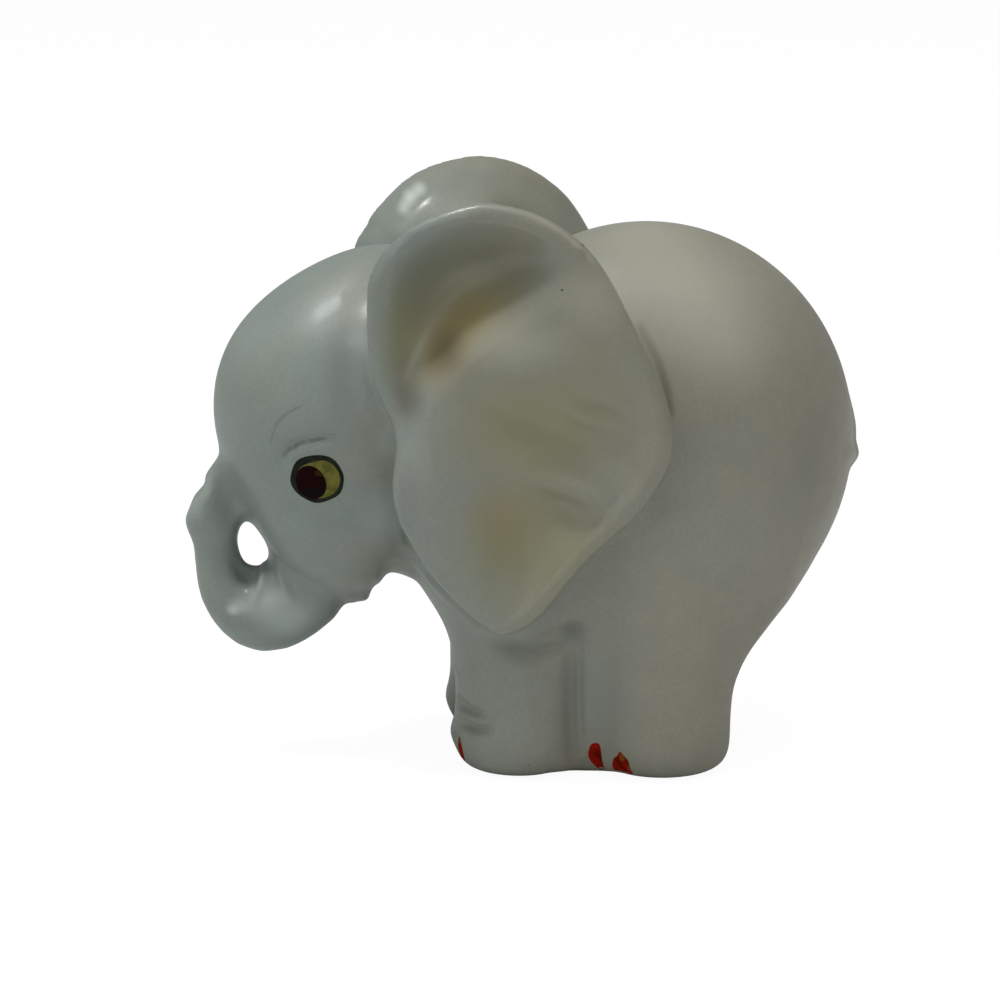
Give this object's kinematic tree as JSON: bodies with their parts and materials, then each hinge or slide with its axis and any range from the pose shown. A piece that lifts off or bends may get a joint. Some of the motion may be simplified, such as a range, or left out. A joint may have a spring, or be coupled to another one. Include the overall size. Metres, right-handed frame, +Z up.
{
  "type": "elephant figurine",
  "caption": "Small hollow glazed ceramic baby elephant with large spread ears, a trunk curled up to the face, painted eyes and toenails, and short fused legs.",
  "frame": {"origin": "middle of the bounding box at the level of the soles", "axes": "+Z up, -X the way the trunk points, so the elephant's left side is -Y"},
  "size_m": [0.0992, 0.0648, 0.0852],
  "materials": {
    "glaze": "grey-green satin glaze",
    "ink": "dark green-black brushed enamel",
    "cream": "olive-cream enamel",
    "maroon": "dark maroon enamel",
    "slate": "thin grey brush stroke",
    "vermilion": "dark orange-red brush stroke"
  },
  "bodies": {
    "root": {"body_shell": "glaze", "head_shell": "glaze", "trunk": "glaze", "tail": "glaze", "left_ear": "glaze", "right_ear": "glaze", "left_eye_line": "ink", "right_eye_line": "ink", "left_eye_white": "cream", "right_eye_white": "cream", "left_iris": "maroon", "right_iris": "maroon", "left_brow": "slate", "right_brow": "slate", "left_eyelid": "slate", "right_eyelid": "slate", "left_front_toenail_1": "vermilion", "left_hind_toenail_1": "vermilion", "left_hind_toenail_2": "vermilion", "right_front_toenail_1": "vermilion", "right_hind_toenail_1": "vermilion", "right_hind_toenail_2": "vermilion"}
  },
  "joints": []
}
